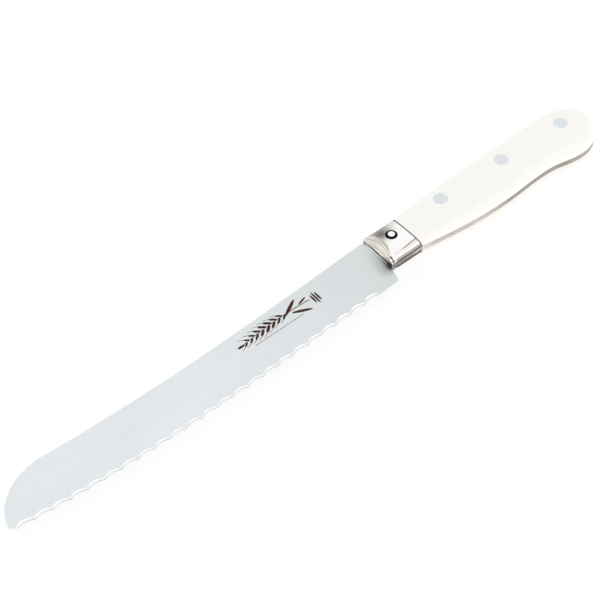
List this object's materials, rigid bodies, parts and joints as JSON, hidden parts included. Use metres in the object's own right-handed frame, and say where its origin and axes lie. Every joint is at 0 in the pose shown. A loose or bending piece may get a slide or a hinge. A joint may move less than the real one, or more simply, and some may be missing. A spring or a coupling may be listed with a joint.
{
  "type": "bread knife",
  "caption": "Serrated bread knife with a full tang, polished bolster halves and riveted handle scales, lying on its right side.",
  "frame": {"origin": "on the surface the knife lies on, under the middle of its bounding box", "axes": "+X from the tip to the butt, -Y the way the cutting edge faces, +Z out of the knife's left side"},
  "size_m": [0.3198, 0.0284, 0.0143],
  "materials": {
    "blade_steel": "satin, ground across the width",
    "bolster_steel": "mirror polish",
    "scale_plastic": "semi-gloss ivory white",
    "rivet_metal": "matte, ground flush"
  },
  "bodies": {
    "root": {"blade": "blade_steel", "bolster_left": "bolster_steel", "bolster_right": "bolster_steel", "bolster_pin": "bolster_steel", "scale_left": "scale_plastic", "scale_right": "scale_plastic", "rivet_front_tube": "rivet_metal", "rivet_front_shank": "rivet_metal", "rivet_middle_tube": "rivet_metal", "rivet_middle_shank": "rivet_metal", "rivet_rear_tube": "rivet_metal", "rivet_rear_shank": "rivet_metal"}
  },
  "joints": []
}
